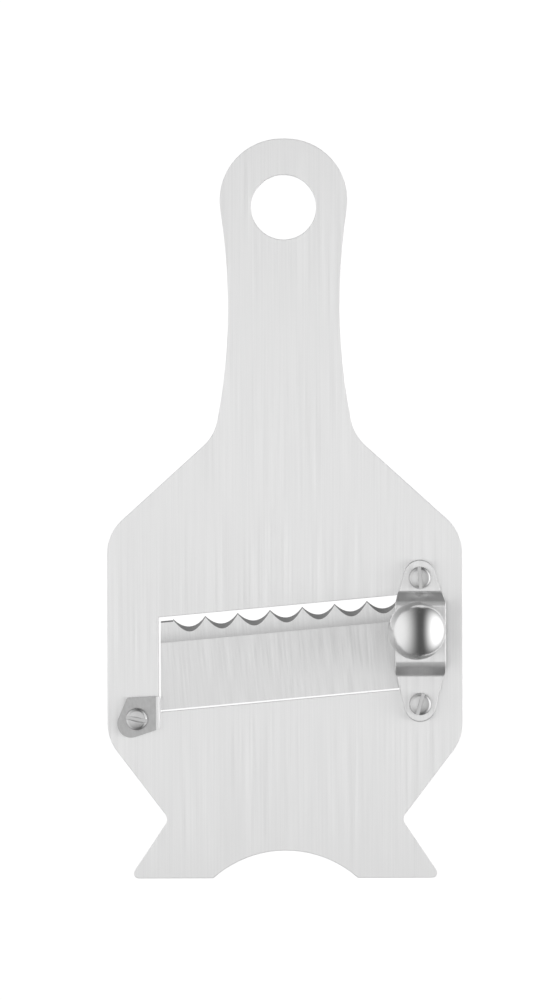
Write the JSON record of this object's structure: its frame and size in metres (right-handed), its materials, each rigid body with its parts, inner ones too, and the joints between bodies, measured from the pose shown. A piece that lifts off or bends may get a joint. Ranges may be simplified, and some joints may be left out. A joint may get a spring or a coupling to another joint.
{
  "type": "truffle slicer",
  "caption": "Flat steel hand slicer with a handle, a scalloped blade in a slanted slot and a ball knob on a bridge that sets the thickness of the shavings.",
  "frame": {"origin": "under the middle of the plate, on the plane of its smooth rear face", "axes": "+Y along the plate towards the hanging hole, +Z out of the face with the knob, +X to the right when that face is seen with the handle up"},
  "size_m": [0.0864, 0.18, 0.0216],
  "materials": {
    "plate_steel": "fine brushed along the handle",
    "blade_steel": "ground and lightly polished",
    "knob_steel": "satin polished",
    "screw_steel": "turned"
  },
  "bodies": {
    "frame": {"frame_plate": "plate_steel", "bridge": "plate_steel", "bridge_screw_upper": "screw_steel", "bridge_screw_lower": "screw_steel", "blade_tab": "blade_steel", "tab_screw": "screw_steel"},
    "thrust": {"thrust_washer": "screw_steel"},
    "knob": {"knob_ball": "knob_steel", "adjusting_stem": "screw_steel"},
    "blade": {"blade": "blade_steel"}
  },
  "joints": [
    {"name": "stem_travel", "type": "slide", "parent": "frame", "child": "thrust", "axis": [0, 0, 1], "range_m": [-0.0018, 0.0002]},
    {"name": "knob_turn", "type": "hinge", "parent": "thrust", "child": "knob", "pos_m": [0.03145, -0.02925, 0.0105], "axis": [0, 0, 1], "range_deg": [-900, 90]},
    {"name": "blade_flex", "type": "hinge", "parent": "frame", "child": "blade", "pos_m": [-0.03012, -0.0475, 0.0006], "axis": [0, -1, 0], "range_deg": [-1.7, 0.2]}
  ],
  "couplings": [
    {"joint": "stem_travel", "follows": "knob_turn", "m_per_rad": 0.00011141},
    {"joint": "blade_flex", "follows": "knob_turn", "ratio": 0.0018093}
  ]
}
